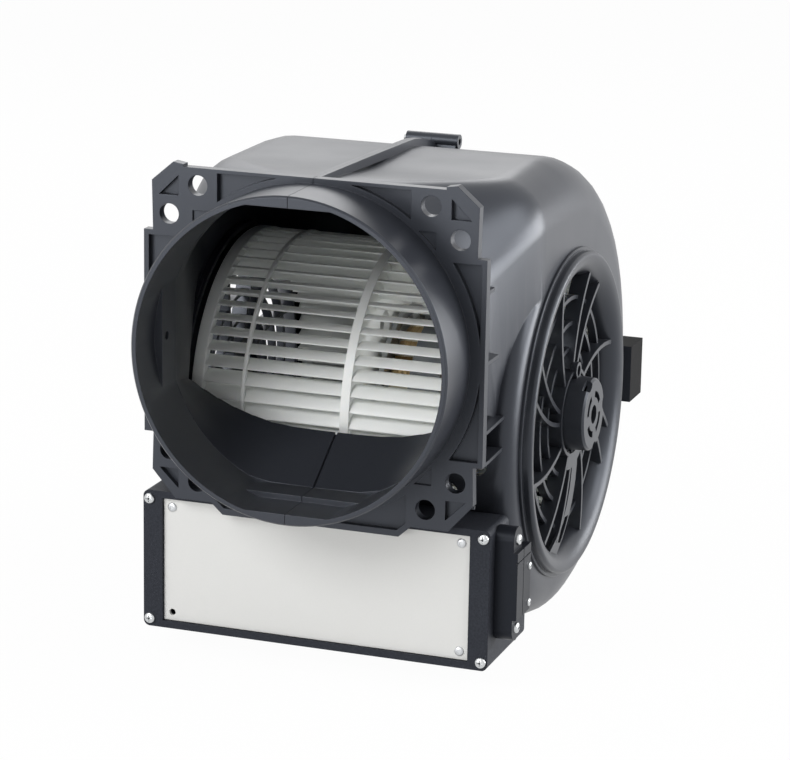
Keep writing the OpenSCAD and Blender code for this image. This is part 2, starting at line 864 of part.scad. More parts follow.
// Rectangle with round corners about the plate's centre
module rounded_face(w, h, r) {
  translate([0, plate_z]) {
    square([w - 2 * r, h], center = true);
    square([w, h - 2 * r], center = true);
    for (sx = [-1, 1], sz = [-1, 1]) translate([sx * (w / 2 - r), sz * (h / 2 - r)]) circle(r);
  }
}

// Places of the four frame screws, with Z to the front
module at_frame_screws(y) {
  for (sx = [-1, 1], sz = [-1, 1])
    translate([sx * frame_screw_x, y, plate_z + sz * frame_screw_z]) rotate([90, 0, 0]) children();
}

// Control box body that fits against the scroll
module control_box() {
  color("#202124")
    difference() {
      union() {
        difference() {
          intersection() {
            from_left(-box_w / 2, box_w) box_outline(0);
            from_front(frame_back, box_depth) rounded_face(box_w, box_h, box_edge);
          }
          from_left(box_wall - box_w / 2, box_w - 2 * box_wall) box_outline(box_wall);
        }
        intersection() {
          at_frame_screws(frame_back + 10) cylinder(r = 3.1, h = 10);
          from_left(-box_w / 2, box_w) box_outline(0);
        }
        for (sx = [-1, 1], y = [frame_back + 6, box_back - 8])
          translate([sx * (board_w / 2 - 7), y, box_low + box_wall]) cylinder(r = 3, h = post_h);
      }
      at_frame_screws(frame_back + 9) cylinder(r = screw_r + 0.05, h = 10);
      translate([cover_x - box_wall - 1, cover_y + 5, cover_top - cover_h + 9]) cube([box_wall + 2, 10, 14]);
    }
}

// Front frame of the control box
module box_frame() {
  color("#1d1e20")
    difference() {
      from_front(box_front, frame_back - box_front) rounded_face(box_w, box_h, box_edge);
      from_front(box_front - 1, plate_recess + plate_t + 1)
        translate([-plate_w / 2 - fit_gap, plate_z - plate_h / 2 - fit_gap])
          square([plate_w + 2 * fit_gap, plate_h + 2 * fit_gap]);
      from_front(box_front, frame_back)
        translate([-plate_w / 2 + 8.4, plate_z - plate_h / 2 + 7]) square([plate_w - 16.8, plate_h - 14]);
      at_frame_screws(frame_back + 1) cylinder(r = screw_r + fit_gap, h = 9);
      for (sx = [-1, 1], sz = [-1, 1])
        bar_forward(sx * rivet_x, frame_back + 1, plate_z + sz * rivet_z, screw_r + 0.05, 9);
    }
}

// Pale face plate of the control box
module face_plate() {
  color("#d8d8d5")
    difference() {
      from_front(box_front + plate_recess, plate_t)
        translate([-plate_w / 2, plate_z - plate_h / 2]) square([plate_w, plate_h]);
      for (sx = [-1, 1], sz = [-1, 1])
        bar_forward(sx * rivet_x, frame_back, plate_z + sz * rivet_z, screw_r + 0.05, 9);
    }
}

// Rivets in three of the plate's four corners
module plate_rivets() {
  color("#c4c6c8")
    for (corner = [[-1, 1], [1, 1], [1, -1]])
      translate([corner[0] * rivet_x, box_front + plate_recess, plate_z + corner[1] * rivet_z])
        rotate([90, 0, 0]) screw(screw_r, 2.2, 1, plate_t + 1.4);
}

// Screws in the frame's corners
module frame_screws() {
  color("#b9bcc0")
    at_frame_screws(box_front) screw(screw_r, screw_head_r, screw_head_h, 11);
}

// Control board on the box floor
module control_board() {
  color("#2f6b3c")
    translate([-board_w / 2, frame_back + 2, board_z]) cube([board_w, box_back - frame_back - 6, board_t]);
}

// Mains transformer on the board
module transformer() {
  color("#6f7277")
    translate([10 - board_w / 2, parts_y, parts_z]) {
      cube([core_w, core_d, core_h]);
      for (y = [-2, core_d])
        translate([(core_w - coil_w) / 2, y, (core_h - coil_h) / 2]) cube([coil_w, 2, coil_h]);
    }
}

// Speed relays in a row on the board
module relays() {
  color("#c8c6bc")
    for (k = [0:2])
      translate([k * relay_pitch - 4, parts_y, parts_z]) cube([relay_pitch - 3, 12, relay_h]);
}

// Run capacitor lying on the board
module run_capacitor() {
  color("#d0d0d2")
    translate([20 - board_w / 2, step(0.56, frame_back, box_back, 1), parts_z + can_r]) rotate([0, 90, 0]) {
      cylinder(r = can_r, h = can_l);
      translate([0, 0, can_l]) cylinder(r = can_r * 0.7, h = 3);
    }
}

// Terminal strip on the box side, under its cover
module terminal_strip() {
  color("#e0ddd2")
    translate([cover_x, cover_y + 4, cover_top - cover_h + 7])
      difference() {
        cube([cover_out - 4, 12, 18]);
        for (k = [0:2]) translate([cover_out - 7, 6, 3 + 6 * k]) rotate([0, 90, 0]) cylinder(r = 1.7, h = 4);
      }
}

// Terminal cover with screw ears
module terminal_cover() {
  color("#18191b")
    difference() {
      union() {
        translate([cover_x, cover_y, cover_top - cover_h]) cube([cover_out, cover_d, cover_h]);
        for (z = [cover_top, cover_top - cover_h - ear_h / 2])
          translate([cover_x, cover_y, z]) cube([ear_out, ear_d, ear_h / 2]);
        for (z = ear_heights)
          translate([cover_x, cover_y + ear_d / 2, z]) rotate([0, 90, 0])
            cylinder(r = ear_d / 2, h = ear_out);
      }
      translate([cover_x - 1, cover_y + 2, cover_top - cover_h + 2])
        cube([cover_out - 1, cover_d - 5, cover_h - 4]);
      translate([cover_x + cover_out - 0.6, cover_y + cover_d * 0.45, cover_top - cover_h - 1])
        cube([1, 0.6, cover_h + 2]);
      translate([cover_x + cover_out - 0.6, cover_y - 1, cover_top - 5]) cube([1, cover_d + 2, 0.6]);
      for (z = ear_heights)
        translate([cover_x - 1, cover_y + ear_d / 2, z]) rotate([0, 90, 0])
          cylinder(r = screw_r + 0.05, h = cover_out + 2);
      for (z = edge_heights)
        translate([cover_x - 1, edge_y, z]) rotate([0, 90, 0])
          cylinder(r = edge_screw_r + 0.05, h = cover_out + 2);
    }
}

// Screws in the ears and the rear edge of the terminal cover
module cover_screws() {
  color("#b9bcc0") {
    for (z = ear_heights)
      translate([cover_x + ear_out, cover_y + ear_d / 2, z]) rotate([0, 90, 0])
        screw(screw_r, screw_head_r, screw_head_h, ear_out);
    for (z = edge_heights)
      translate([cover_x + cover_out, edge_y, z]) rotate([0, 90, 0])
        screw(edge_screw_r, 2 * edge_screw_r, edge_screw_r, cover_out);
  }
}

housing_left();
housing_right();
outlet_left();
outlet_right();
seam_screws();
grille_right();
grille_left();
impeller_left();
impeller_right();
impeller_web();
impeller_nut();
shaft();
rotor_core();
stator_core();
windings();
bracket_front();
bracket_rear();
bush_front();
bush_rear();
motor_bolts();
motor_damper();
motor_screws();
control_box();
box_frame();
face_plate();
plate_rivets();
frame_screws();
control_board();
transformer();
relays();
run_capacitor();
terminal_strip();
terminal_cover();
cover_screws();
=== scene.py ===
"""Looks of a double-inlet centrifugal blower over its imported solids. Metres, Z up, fan axis along X."""
import json
import math

import bmesh
import bpy
from mathutils import Matrix, Vector

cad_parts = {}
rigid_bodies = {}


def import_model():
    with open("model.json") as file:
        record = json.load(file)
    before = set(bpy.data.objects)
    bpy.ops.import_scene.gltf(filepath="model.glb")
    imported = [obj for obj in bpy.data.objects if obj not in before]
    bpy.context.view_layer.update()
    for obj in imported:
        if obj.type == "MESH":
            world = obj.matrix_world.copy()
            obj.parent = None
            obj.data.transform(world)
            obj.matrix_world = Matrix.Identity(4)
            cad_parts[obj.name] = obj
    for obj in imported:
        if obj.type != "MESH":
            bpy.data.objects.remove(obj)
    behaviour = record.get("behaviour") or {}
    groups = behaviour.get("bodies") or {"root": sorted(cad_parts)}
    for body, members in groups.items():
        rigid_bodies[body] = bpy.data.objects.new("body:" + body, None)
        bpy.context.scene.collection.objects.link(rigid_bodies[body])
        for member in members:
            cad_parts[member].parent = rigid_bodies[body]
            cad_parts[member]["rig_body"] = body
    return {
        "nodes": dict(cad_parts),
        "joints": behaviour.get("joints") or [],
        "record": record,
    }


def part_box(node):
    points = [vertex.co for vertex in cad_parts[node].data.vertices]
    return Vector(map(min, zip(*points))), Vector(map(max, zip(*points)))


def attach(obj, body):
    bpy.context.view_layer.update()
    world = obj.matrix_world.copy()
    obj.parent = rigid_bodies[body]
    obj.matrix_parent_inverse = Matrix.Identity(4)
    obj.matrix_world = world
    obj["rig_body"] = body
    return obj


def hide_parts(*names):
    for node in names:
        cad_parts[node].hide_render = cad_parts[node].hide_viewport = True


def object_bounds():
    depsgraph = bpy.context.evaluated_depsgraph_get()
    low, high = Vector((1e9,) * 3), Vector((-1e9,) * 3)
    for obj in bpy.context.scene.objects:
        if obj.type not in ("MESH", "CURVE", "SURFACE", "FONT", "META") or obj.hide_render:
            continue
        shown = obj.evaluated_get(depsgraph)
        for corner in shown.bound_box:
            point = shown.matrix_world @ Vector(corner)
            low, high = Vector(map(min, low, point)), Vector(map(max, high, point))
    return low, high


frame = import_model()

cad_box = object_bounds()
nodes = frame["nodes"]
slot_of = {row["node"]: row["material_slot"] for row in frame["record"]["subparts"]}
scene = bpy.context.scene
scene.view_settings.view_transform = "Standard"

MM = 0.001
AXIS = Vector(frame["joints"][0]["pos_m"])
# Turns a shape that is made along Z onto the fan axis
TO_AXIS = (math.pi / 2, 0, math.pi / 2)
FULL_TURN = 2 * math.pi
# Faces that meet at less than this shade as one curved surface
SHARP_ANGLE = math.radians(30)


def linear(colour):
    """An sRGB hex colour as linear RGBA."""
    parts = [int(colour[i:i + 2], 16) / 255 for i in (1, 3, 5)]
    return [c / 12.92 if c <= 0.04045 else ((c + 0.055) / 1.055) ** 2.4 for c in parts] + [1.0]


def add(tree, kind, inputs=(), out=None, **settings):
    """A node with its settings and inputs, each a value or a socket. Gives the asked or the first output."""
    node = tree.nodes.new(kind)
    for name, value in settings.items():
        setattr(node, name, value)
    for key, value in dict(inputs).items():
        if isinstance(value, bpy.types.NodeSocket):
            tree.links.new(value, node.inputs[key])
        else:
            node.inputs[key].default_value = value
    if out is not None:
        return node.outputs[out]
    return next((socket for socket in node.outputs if socket.enabled), None)


# Camera and light

# The photograph's viewpoint and its lens
EYE = (0.4949918, -1.2870257, 0.3499742)
EYE_RIGHT = Vector((0.9411897, 0.337445, 0.0171107))
EYE_UP = Vector((-0.1018197, 0.2349763, 0.9666534))
LENS_MM = 144.24
SENSOR_MM = 36

# The white surroundings as a light on the object; to the eye they are plain white
SWEEP_LIGHT = 0.36
FLOOR_REACH = 4.0
FLOOR_GAP = 0.2 * MM
# The share of the floor that is plain white to the eye; the rest is matt and keeps the shadow
FLOOR_WHITE = 0.97


def place_camera():
    """A long lens, slightly above and to the right of the outlet."""
    data = bpy.data.cameras.new("camera")
    data.sensor_width = SENSOR_MM
    data.lens = LENS_MM
    camera = bpy.data.objects.new("camera", data)
    turn = Matrix((EYE_RIGHT, EYE_UP, EYE_RIGHT.cross(EYE_UP))).transposed().to_4x4()
    camera.matrix_world = Matrix.Translation(EYE) @ turn
    scene.collection.objects.link(camera)
    scene.camera = camera


def softbox(name, at, aim, width, height, radiance):
    """A rectangular soft light with the power of a matt face of the given radiance."""
    data = bpy.data.lights.new(name, "AREA")
    data.shape = "RECTANGLE"
    data.size = width
    data.size_y = height
    data.energy = radiance * math.pi * width * height
    lamp = bpy.data.objects.new(name, data)
    lamp.location = at
    lamp.rotation_euler = (Vector(aim) - Vector(at)).to_track_quat("-Z", "Y").to_euler()
    scene.collection.objects.link(lamp)


def white_to_eye(tree, level):
    """One for what the eye sees, straight, mirrored or through glass, and the level for other light."""
    path = tree.nodes.new("ShaderNodeLightPath").outputs
    seen = path["Is Camera Ray"]
    for way in ("Is Transmission Ray", "Is Glossy Ray"):
        seen = add(tree, "ShaderNodeMath", {0: seen, 1: path[way]}, operation="MAXIMUM")
    return add(tree, "ShaderNodeMapRange", {"Value": seen, "To Min": level, "To Max": 1.0})


def light_studio():
    """White surroundings and five soft lights."""
    world = bpy.data.worlds.new("white_sweep")
    scene.world = world
    world.use_nodes = True
    tree = world.node_tree
    tree.nodes.clear()
    level = white_to_eye(tree, SWEEP_LIGHT)
    back = add(tree, "ShaderNodeBackground", {"Color": linear("#ffffff"), "Strength": level})
    add(tree, "ShaderNodeOutputWorld", {"Surface": back})

    softbox("key_softbox", at=(-0.62, -1.1, 0.85), aim=(0, 0, -0.05),
            width=0.8, height=0.7, radiance=7.0)
    softbox("front_softbox", at=(-0.45, -1.25, 0.02), aim=(0, 0, -0.02),
            width=0.8, height=0.34, radiance=4.6)
    softbox("high_softbox", at=(1.05, 0.25, 0.66), aim=(0.05, 0.1, 0),
            width=0.7, height=0.5, radiance=5.0)
    softbox("rear_softbox", at=(-0.8, 1.25, 0.8), aim=(0, 0.1, 0.05),
            width=1.5, height=0.7, radiance=2.0)
    softbox("side_softbox", at=(1.1, 0.7, 0.1), aim=(0, 0.1, 0),
            width=1.15, height=0.5, radiance=7.7)


def lay_floor():
    """White paper just under the object."""
    low = cad_box[0].z - FLOOR_GAP
    corners = [(x * FLOOR_REACH, y * FLOOR_REACH, low) for x, y in ((-1, -1), (1, -1), (1, 1), (-1, 1))]
    mesh = bpy.data.meshes.new("floor")
    mesh.from_pydata(corners, [], [(0, 1, 2, 3)])
    floor = bpy.data.objects.new("floor", mesh)
    scene.collection.objects.link(floor)
    paper = bpy.data.materials.new("white_paper")
    paper.use_nodes = True
    tree = paper.node_tree
    tree.nodes.clear()
    matt = add(tree, "ShaderNodeBsdfDiffuse", {"Color": linear("#f4f4f3")})
    bright = add(tree, "ShaderNodeEmission", {"Color": linear("#ffffff"), "Strength": 1.0})
    seen = white_to_eye(tree, 0.0)
    share = add(tree, "ShaderNodeMath", {0: seen, 1: FLOOR_WHITE}, operation="MULTIPLY")
    both = add(tree, "ShaderNodeMixShader", {0: share, 1: matt, 2: bright})
    add(tree, "ShaderNodeOutputMaterial", {"Surface": both})
    mesh.materials.append(paper)


# Materials

PLASTIC_IOR = 1.49
# Plastic edges are rounded by the mould
MOULD_EDGE = 0.4 * MM
# Size of the patches in which a moulded surface changes its gloss
GLOSS_PATCH = 45 * MM
PLASTIC_GLOSS_CHANGE = 0.04
METAL_GLOSS_CHANGE = 0.08
METAL_RELIEF = 0.02 * MM
# The middle of a noise pattern's values, where nearly all of them lie
NOISE_RANGE = {"From Min": 0.3, "From Max": 0.7}
# Places of a mix node's colour sockets, whose names it has several times
MIX_FIRST = 6
MIX_SECOND = 7
MIX_RESULT = 2


def new_material(name, colour, rough, **sockets):
    """A named material with one principled shader. Gives the material, its tree and the shader's node."""
    made = bpy.data.materials.new(name)
    made.use_nodes = True
    tree = made.node_tree
    tree.nodes.clear()
    inputs = {"Base Color": linear(colour), "Roughness": rough}
    inputs.update({key.replace("_", " "): value for key, value in sockets.items()})
    surface = add(tree, "ShaderNodeBsdfPrincipled", inputs)
    add(tree, "ShaderNodeOutputMaterial", {"Surface": surface})
    return made, tree, surface.node


def moulded(name, colour, pale, rough, grain_mm, depth_mm, **sockets):
    """A moulded or coated surface: soft edges, slow changes of gloss, and a grain."""
    made, tree, shader = new_material(name, colour, rough, IOR=PLASTIC_IOR, **sockets)
    place = tree.nodes.new("ShaderNodeTexCoord").outputs["Object"]
    # A real mould's grain is too fine to show here, so it is drawn as coarse as it needs to show
    grain = add(tree, "ShaderNodeTexNoise", {"Vector": place, "Scale": 1 / (grain_mm * MM), "Detail": 3.0})
    cloud = add(tree, "ShaderNodeTexNoise", {"Vector": place, "Scale": 1 / GLOSS_PATCH, "Detail": 2.0})
    edge = add(tree, "ShaderNodeBevel", {"Radius": MOULD_EDGE}, samples=4)
    bump = add(tree, "ShaderNodeBump",
               {"Height": grain, "Distance": depth_mm * MM, "Strength": 0.6, "Normal": edge})
    low, high = rough - PLASTIC_GLOSS_CHANGE, rough + PLASTIC_GLOSS_CHANGE
    gloss = add(tree, "ShaderNodeMapRange", {"Value": cloud, **NOISE_RANGE, "To Min": low, "To Max": high})
    speckle = add(tree, "ShaderNodeMix", {0: grain, MIX_FIRST: linear(colour), MIX_SECOND: linear(pale)},
                  MIX_RESULT, data_type="RGBA")
    tree.links.new(speckle, shader.inputs["Base Color"])
    tree.links.new(bump, shader.inputs["Normal"])
    tree.links.new(gloss, shader.inputs["Roughness"])
    return made


def metal(name, colour, rough, grain_mm, stretch=(1, 1, 1)):
    """Bare or plated metal: a grain that varies its gloss, stretched or crowded along each axis."""
    made, tree, shader = new_material(name, colour, rough, Metallic=1.0)
    place = tree.nodes.new("ShaderNodeTexCoord").outputs["Object"]
    # The grain is drawn coarser than the real one, so that it shows
    along = add(tree, "ShaderNodeMapping", {"Vector": place, "Scale": stretch})
    grain = add(tree, "ShaderNodeTexNoise", {"Vector": along, "Scale": 1 / (grain_mm * MM), "Detail": 4.0})
    low, high = rough - METAL_GLOSS_CHANGE, rough + METAL_GLOSS_CHANGE
    gloss = add(tree, "ShaderNodeMapRange", {"Value": grain, **NOISE_RANGE, "To Min": low, "To Max": high})
    bump = add(tree, "ShaderNodeBump", {"Height": grain, "Distance": METAL_RELIEF, "Strength": 0.4})
    tree.links.new(gloss, shader.inputs["Roughness"])
    tree.links.new(bump, shader.inputs["Normal"])
    return made


def dress(material, *names):
    """CAD nodes that show as they are, with their material."""
    for name in names:
        mesh = nodes[name].data
        mesh.materials.clear()
        mesh.materials.append(material)


# Pieces

# Corners of a CAD mesh closer than this are one corner, and on a smoothed copy those within twice as much
MERGE = 0.01 * MM
SKIN_MERGE = 2 * MERGE
# How strongly large faces set the shading of the rounds beside them
LARGE_FACE_WEIGHT = 60


def on_body(piece, body, slot, *stands_for):
    """A finished piece rides on a body and stands for CAD nodes, which it hides; the slot is not used."""
    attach(piece, body)
    if stands_for:
        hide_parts(*stands_for)
    return piece


def joined(name):
    """A copy of a CAD node with its loose triangles joined, smooth where the real piece curves."""
    mesh = nodes[name].data.copy()
    mesh.name = name + "_skin"
    for layer in [a.name for a in mesh.attributes if a.name == "custom_normal"]:
        mesh.attributes.remove(mesh.attributes[layer])
    bm = bmesh.new()
    bm.from_mesh(mesh)
    bmesh.ops.remove_doubles(bm, verts=bm.verts, dist=SKIN_MERGE)
    bmesh.ops.dissolve_degenerate(bm, edges=bm.edges, dist=MERGE)
    for face in bm.faces:
        face.smooth = True
    bm.to_mesh(mesh)
    bm.free()
    mesh.materials.clear()
    mesh.set_sharp_from_angle(angle=SHARP_ANGLE)
    piece = bpy.data.objects.new(name + "_skin", mesh)
    scene.collection.objects.link(piece)
    weighted = piece.modifiers.new("even_shading", "WEIGHTED_NORMAL")
    weighted.keep_sharp = True
    weighted.weight = LARGE_FACE_WEIGHT
    return piece


def refined(name, material):
    """The joined copy of a CAD node, in its place."""
    piece = joined(name)
    piece.data.materials.append(material)
    return on_body(piece, nodes[name]["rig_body"], slot_of[name], name)


# Geometry node trees


def new_tree(name, **sizes):
    """A geometry tree with a named input for each size. Gives the tree and its input sockets."""
    tree = bpy.data.node_groups.new(name, "GeometryNodeTree")
    kinds = {int: "NodeSocketInt", float: "NodeSocketFloat", tuple: "NodeSocketVector"}
    tree.interface.new_socket("Geometry", in_out="INPUT", socket_type="NodeSocketGeometry")
    for label, value in sizes.items():
        socket = tree.interface.new_socket(label, in_out="INPUT", socket_type=kinds[type(value)])
        socket.default_value = value
    tree.interface.new_socket("Geometry", in_out="OUTPUT", socket_type="NodeSocketGeometry")
    return tree, tree.nodes.new("NodeGroupInput").outputs


def close_tree(tree, geometry, material):
    """The tree's end: real copies in place of instances, with the piece's material."""
    real = add(tree, "GeometryNodeRealizeInstances", {"Geometry": geometry})
    faced = add(tree, "GeometryNodeSetShadeSmooth", {"Geometry": real, "Shade Smooth": True})
    dressed = add(tree, "GeometryNodeSetMaterial", {"Geometry": faced, "Material": material})
    tree.links.new(dressed, tree.nodes.new("NodeGroupOutput").inputs[0])


def grown(name, tree, base=None, **sizes):
    """The plain mesh that a tree makes, on a base mesh of points where it has one."""
    seed = bpy.data.objects.new(name + "_seed", base or bpy.data.meshes.new(name + "_seed"))
    scene.collection.objects.link(seed)
    modifier = seed.modifiers.new("grow", "NODES")
    modifier.node_group = tree
    for item in tree.interface.items_tree:
        if item.in_out == "INPUT" and item.name in sizes:
            modifier[item.identifier] = sizes[item.name]
    mesh = bpy.data.meshes.new_from_object(seed.evaluated_get(bpy.context.evaluated_depsgraph_get()))
    bpy.data.objects.remove(seed)
    mesh.name = name
    mesh.set_sharp_from_angle(angle=SHARP_ANGLE)
    piece = bpy.data.objects.new(name, mesh)
    scene.collection.objects.link(piece)
    return piece


place_camera()
light_studio()
lay_floor()

# Finishes of this blower

# The bluish sheen of carbon-black plastics
COOL_SHEEN = linear("#ebf2ff")

# Black polypropylene from a polished, lightly blasted mould: a cool sheen, brighter at grazing angles.
housing_plastic = moulded("moulded_polypropylene_black", "#26282d", "#2e3036",
                          rough=0.34, grain_mm=0.5, depth_mm=0.01, Specular_Tint=COOL_SHEEN)
# The same plastic on the grilles, moulded a little darker.
grille_plastic = moulded("moulded_polypropylene_grille", "#212328", "#292b30",
                         rough=0.34, grain_mm=0.5, depth_mm=0.01, Specular_Tint=COOL_SHEEN)
# ABS from a spark-eroded mould: a coarse sand grain that breaks up the shine.
box_plastic = moulded("spark_textured_abs_black", "#15171b", "#32343b",
                      rough=0.56, grain_mm=0.9, depth_mm=0.2,
                      Specular_IOR_Level=0.22, Specular_Tint=COOL_SHEEN)
# Smooth ABS of the cover: deep black with a soft shine.
cover_plastic = moulded("moulded_abs_satin_black", "#15171c", "#1d1f25",
                        rough=0.4, grain_mm=0.5, depth_mm=0.006,
                        Specular_IOR_Level=0.18, Specular_Tint=COOL_SHEEN)
# Natural polypropylene of the impeller: milky white, lit a little from inside.
impeller_plastic = moulded("moulded_polypropylene_natural", "#f5f8f5", "#fafcf9",
                           rough=0.4, grain_mm=0.8, depth_mm=0.006, Subsurface_Weight=0.3,
                           Subsurface_Radius=(1.0, 0.95, 0.85), Subsurface_Scale=3 * MM)
# Soft black rubber of damper and rear lugs: grainy, hardly any shine.
rubber = moulded("damper_rubber", "#131314", "#1d1d1e",
                 rough=0.75, grain_mm=0.5, depth_mm=0.06, Specular_IOR_Level=0.1)
# Zinc plating: bright grey with a faint mottle.
zinc = metal("zinc_plated_steel", "#c9cbcc", rough=0.3, grain_mm=0.3)
# Semi-matt white coating of the face plate: even, with a soft sheen.
white_coat = moulded("semi_matt_white_coating", "#d3d3d1", "#d7d7d5",
                     rough=0.46, grain_mm=0.6, depth_mm=0.004)
# Drawn aluminium can: fine lines along its length.
drawn = metal("drawn_aluminium", "#d2d3d2", rough=0.4, grain_mm=0.4, stretch=(0.1, 1, 1))
# Ground steel of the shaft: bright, with a fine grain.
steel = metal("bright_steel", "#b9bbbd", rough=0.32, grain_mm=0.3)
# Die-cast alloy: dull, slightly grainy.
alloy = metal("die_cast_alloy", "#a9abad", rough=0.5, grain_mm=0.6)
# Stacked electrical sheets: lines across the fan axis.
lamination = metal("electrical_steel_stack", "#84878b", rough=0.45, grain_mm=0.5, stretch=(10, 1, 1))
# Enamelled copper wire: warm, shiny.
copper = metal("enamelled_copper", "#d2b486", rough=0.38, grain_mm=0.8)
# Waxed cotton cord that laces the coils: cream, dull.
cord = moulded("waxed_cotton_cord", "#d8d0ba", "#e2dbc8", rough=0.7, grain_mm=0.3, depth_mm=0.05)
# Plain aluminium of the rivets: pale grey, half dull.
rivet_metal = metal("plain_aluminium", "#c4c6c8", rough=0.42, grain_mm=0.3)
# Oil-filled sintered bronze: dull brown.
bronze = metal("sintered_bronze", "#9a7b4a", rough=0.5, grain_mm=0.4)
# Solder resist over laminate: an even green.
board = moulded("board_laminate_green", "#2a6238", "#2f6b3c", rough=0.45, grain_mm=0.8, depth_mm=0.01)
# Varnished transformer core: a flat grey.
core = moulded("core_varnish", "#63666b", "#6f7277", rough=0.5, grain_mm=0.8, depth_mm=0.02)
# Moulded shells of the relays: ivory, half dull.
relay = moulded("relay_shell", "#c2c0b6", "#c8c6bc", rough=0.5, grain_mm=0.5, depth_mm=0.01)
# Thermoset of the terminal strip: cream, half dull.
strip = moulded("terminal_thermoset", "#dcd9ce", "#e2dfd4", rough=0.5, grain_mm=0.5, depth_mm=0.01)

dress(impeller_plastic, "impeller_web")
dress(zinc, "motor_bolts", "impeller_nut")
dress(white_coat, "face_plate")
dress(drawn, "run_capacitor")
dress(steel, "shaft")
dress(alloy, "bracket_front", "bracket_rear")
dress(lamination, "stator_core", "rotor_core")
dress(copper, "windings")
dress(bronze, "bush_front", "bush_rear")
dress(rubber, "motor_damper")
dress(board, "control_board")
dress(core, "transformer")
dress(relay, "relays")
dress(strip, "terminal_strip")

# Housing, grilles and control box, with rubber on the rear lugs

# Where the lugs start behind the scroll and beside its middle, and the height from the axis they stay within
LUG_START = 221.2 * MM
LUG_INNER = 60.4 * MM
LUG_REACH = 24 * MM
# The lugs' faces look along an axis, the scroll's faces beside them don't
SQUARE = 0.9999


def on_lug(face):
    """Whether a face of a housing half belongs to its rear lug."""
    x, y, z = face.center
    square = max(abs(c) for c in face.normal) > SQUARE
    return square and abs(x) > LUG_INNER and y > LUG_START and abs(z - AXIS.z) < LUG_REACH


for half in ("outlet_left", "outlet_right"):
    refined(half, housing_plastic)
for half in ("housing_left", "housing_right"):
    shell = refined(half, housing_plastic).data
    shell.materials.append(rubber)
    for face in filter(on_lug, shell.polygons):
        face.material_index = 1
for side in ("grille_left", "grille_right"):
    refined(side, grille_plastic)
for name in ("control_box", "box_frame"):
    refined(name, box_plastic)
refined("terminal_cover", cover_plastic)

# Impeller cages: curved blades set around the axis and tied by rings

BLADES = 62
BLADE_THICKNESS = 1.2 * MM
BLADE_DEPTH = 11 * MM
BLADE_LEAN = math.radians(5)
# How far the blades' tips stay inside the rings' outer edge
TIP_INSET = 0.6 * MM
# The radius of a blade's curve, as a share of its depth
BLADE_CURVE = 0.86
# One gives the blade's section the form of an ellipse, less makes its sides more even
BLADE_TAPER = 0.4
PROFILE_POINTS = 20
END_RING_DEPTH = 4.5 * MM
END_RING_WIDTH = 6 * MM
TIE_RING_DEPTH = 2.5 * MM
TIE_RING_WIDTH = 2 * MM
# Where the tie ring starts, as a share of the cage's length from the web
TIE_RING_PLACE = 0.64
RING_EDGE = 0.5 * MM
RING_EDGE_POINTS = 3
RING_POINTS = 128


def blade_arc(wheel_radius):
    """Centre, radius, first angle and span of the blades' arc, in the plane across the axis."""
    inner = Vector((wheel_radius - BLADE_DEPTH, 0))
    outer = (wheel_radius - TIP_INSET) * Vector((math.cos(BLADE_LEAN), math.sin(BLADE_LEAN)))
    radius = BLADE_CURVE * BLADE_DEPTH
    chord = outer - inner
    half = chord.length / 2
    rise = math.sqrt(radius ** 2 - half ** 2)
    centre = (inner + outer) / 2 + rise * Vector((-chord.y, chord.x)).normalized()
    first = math.atan2(inner.y - centre.y, inner.x - centre.x)
    return centre, radius, first, 2 * math.asin(half / radius)


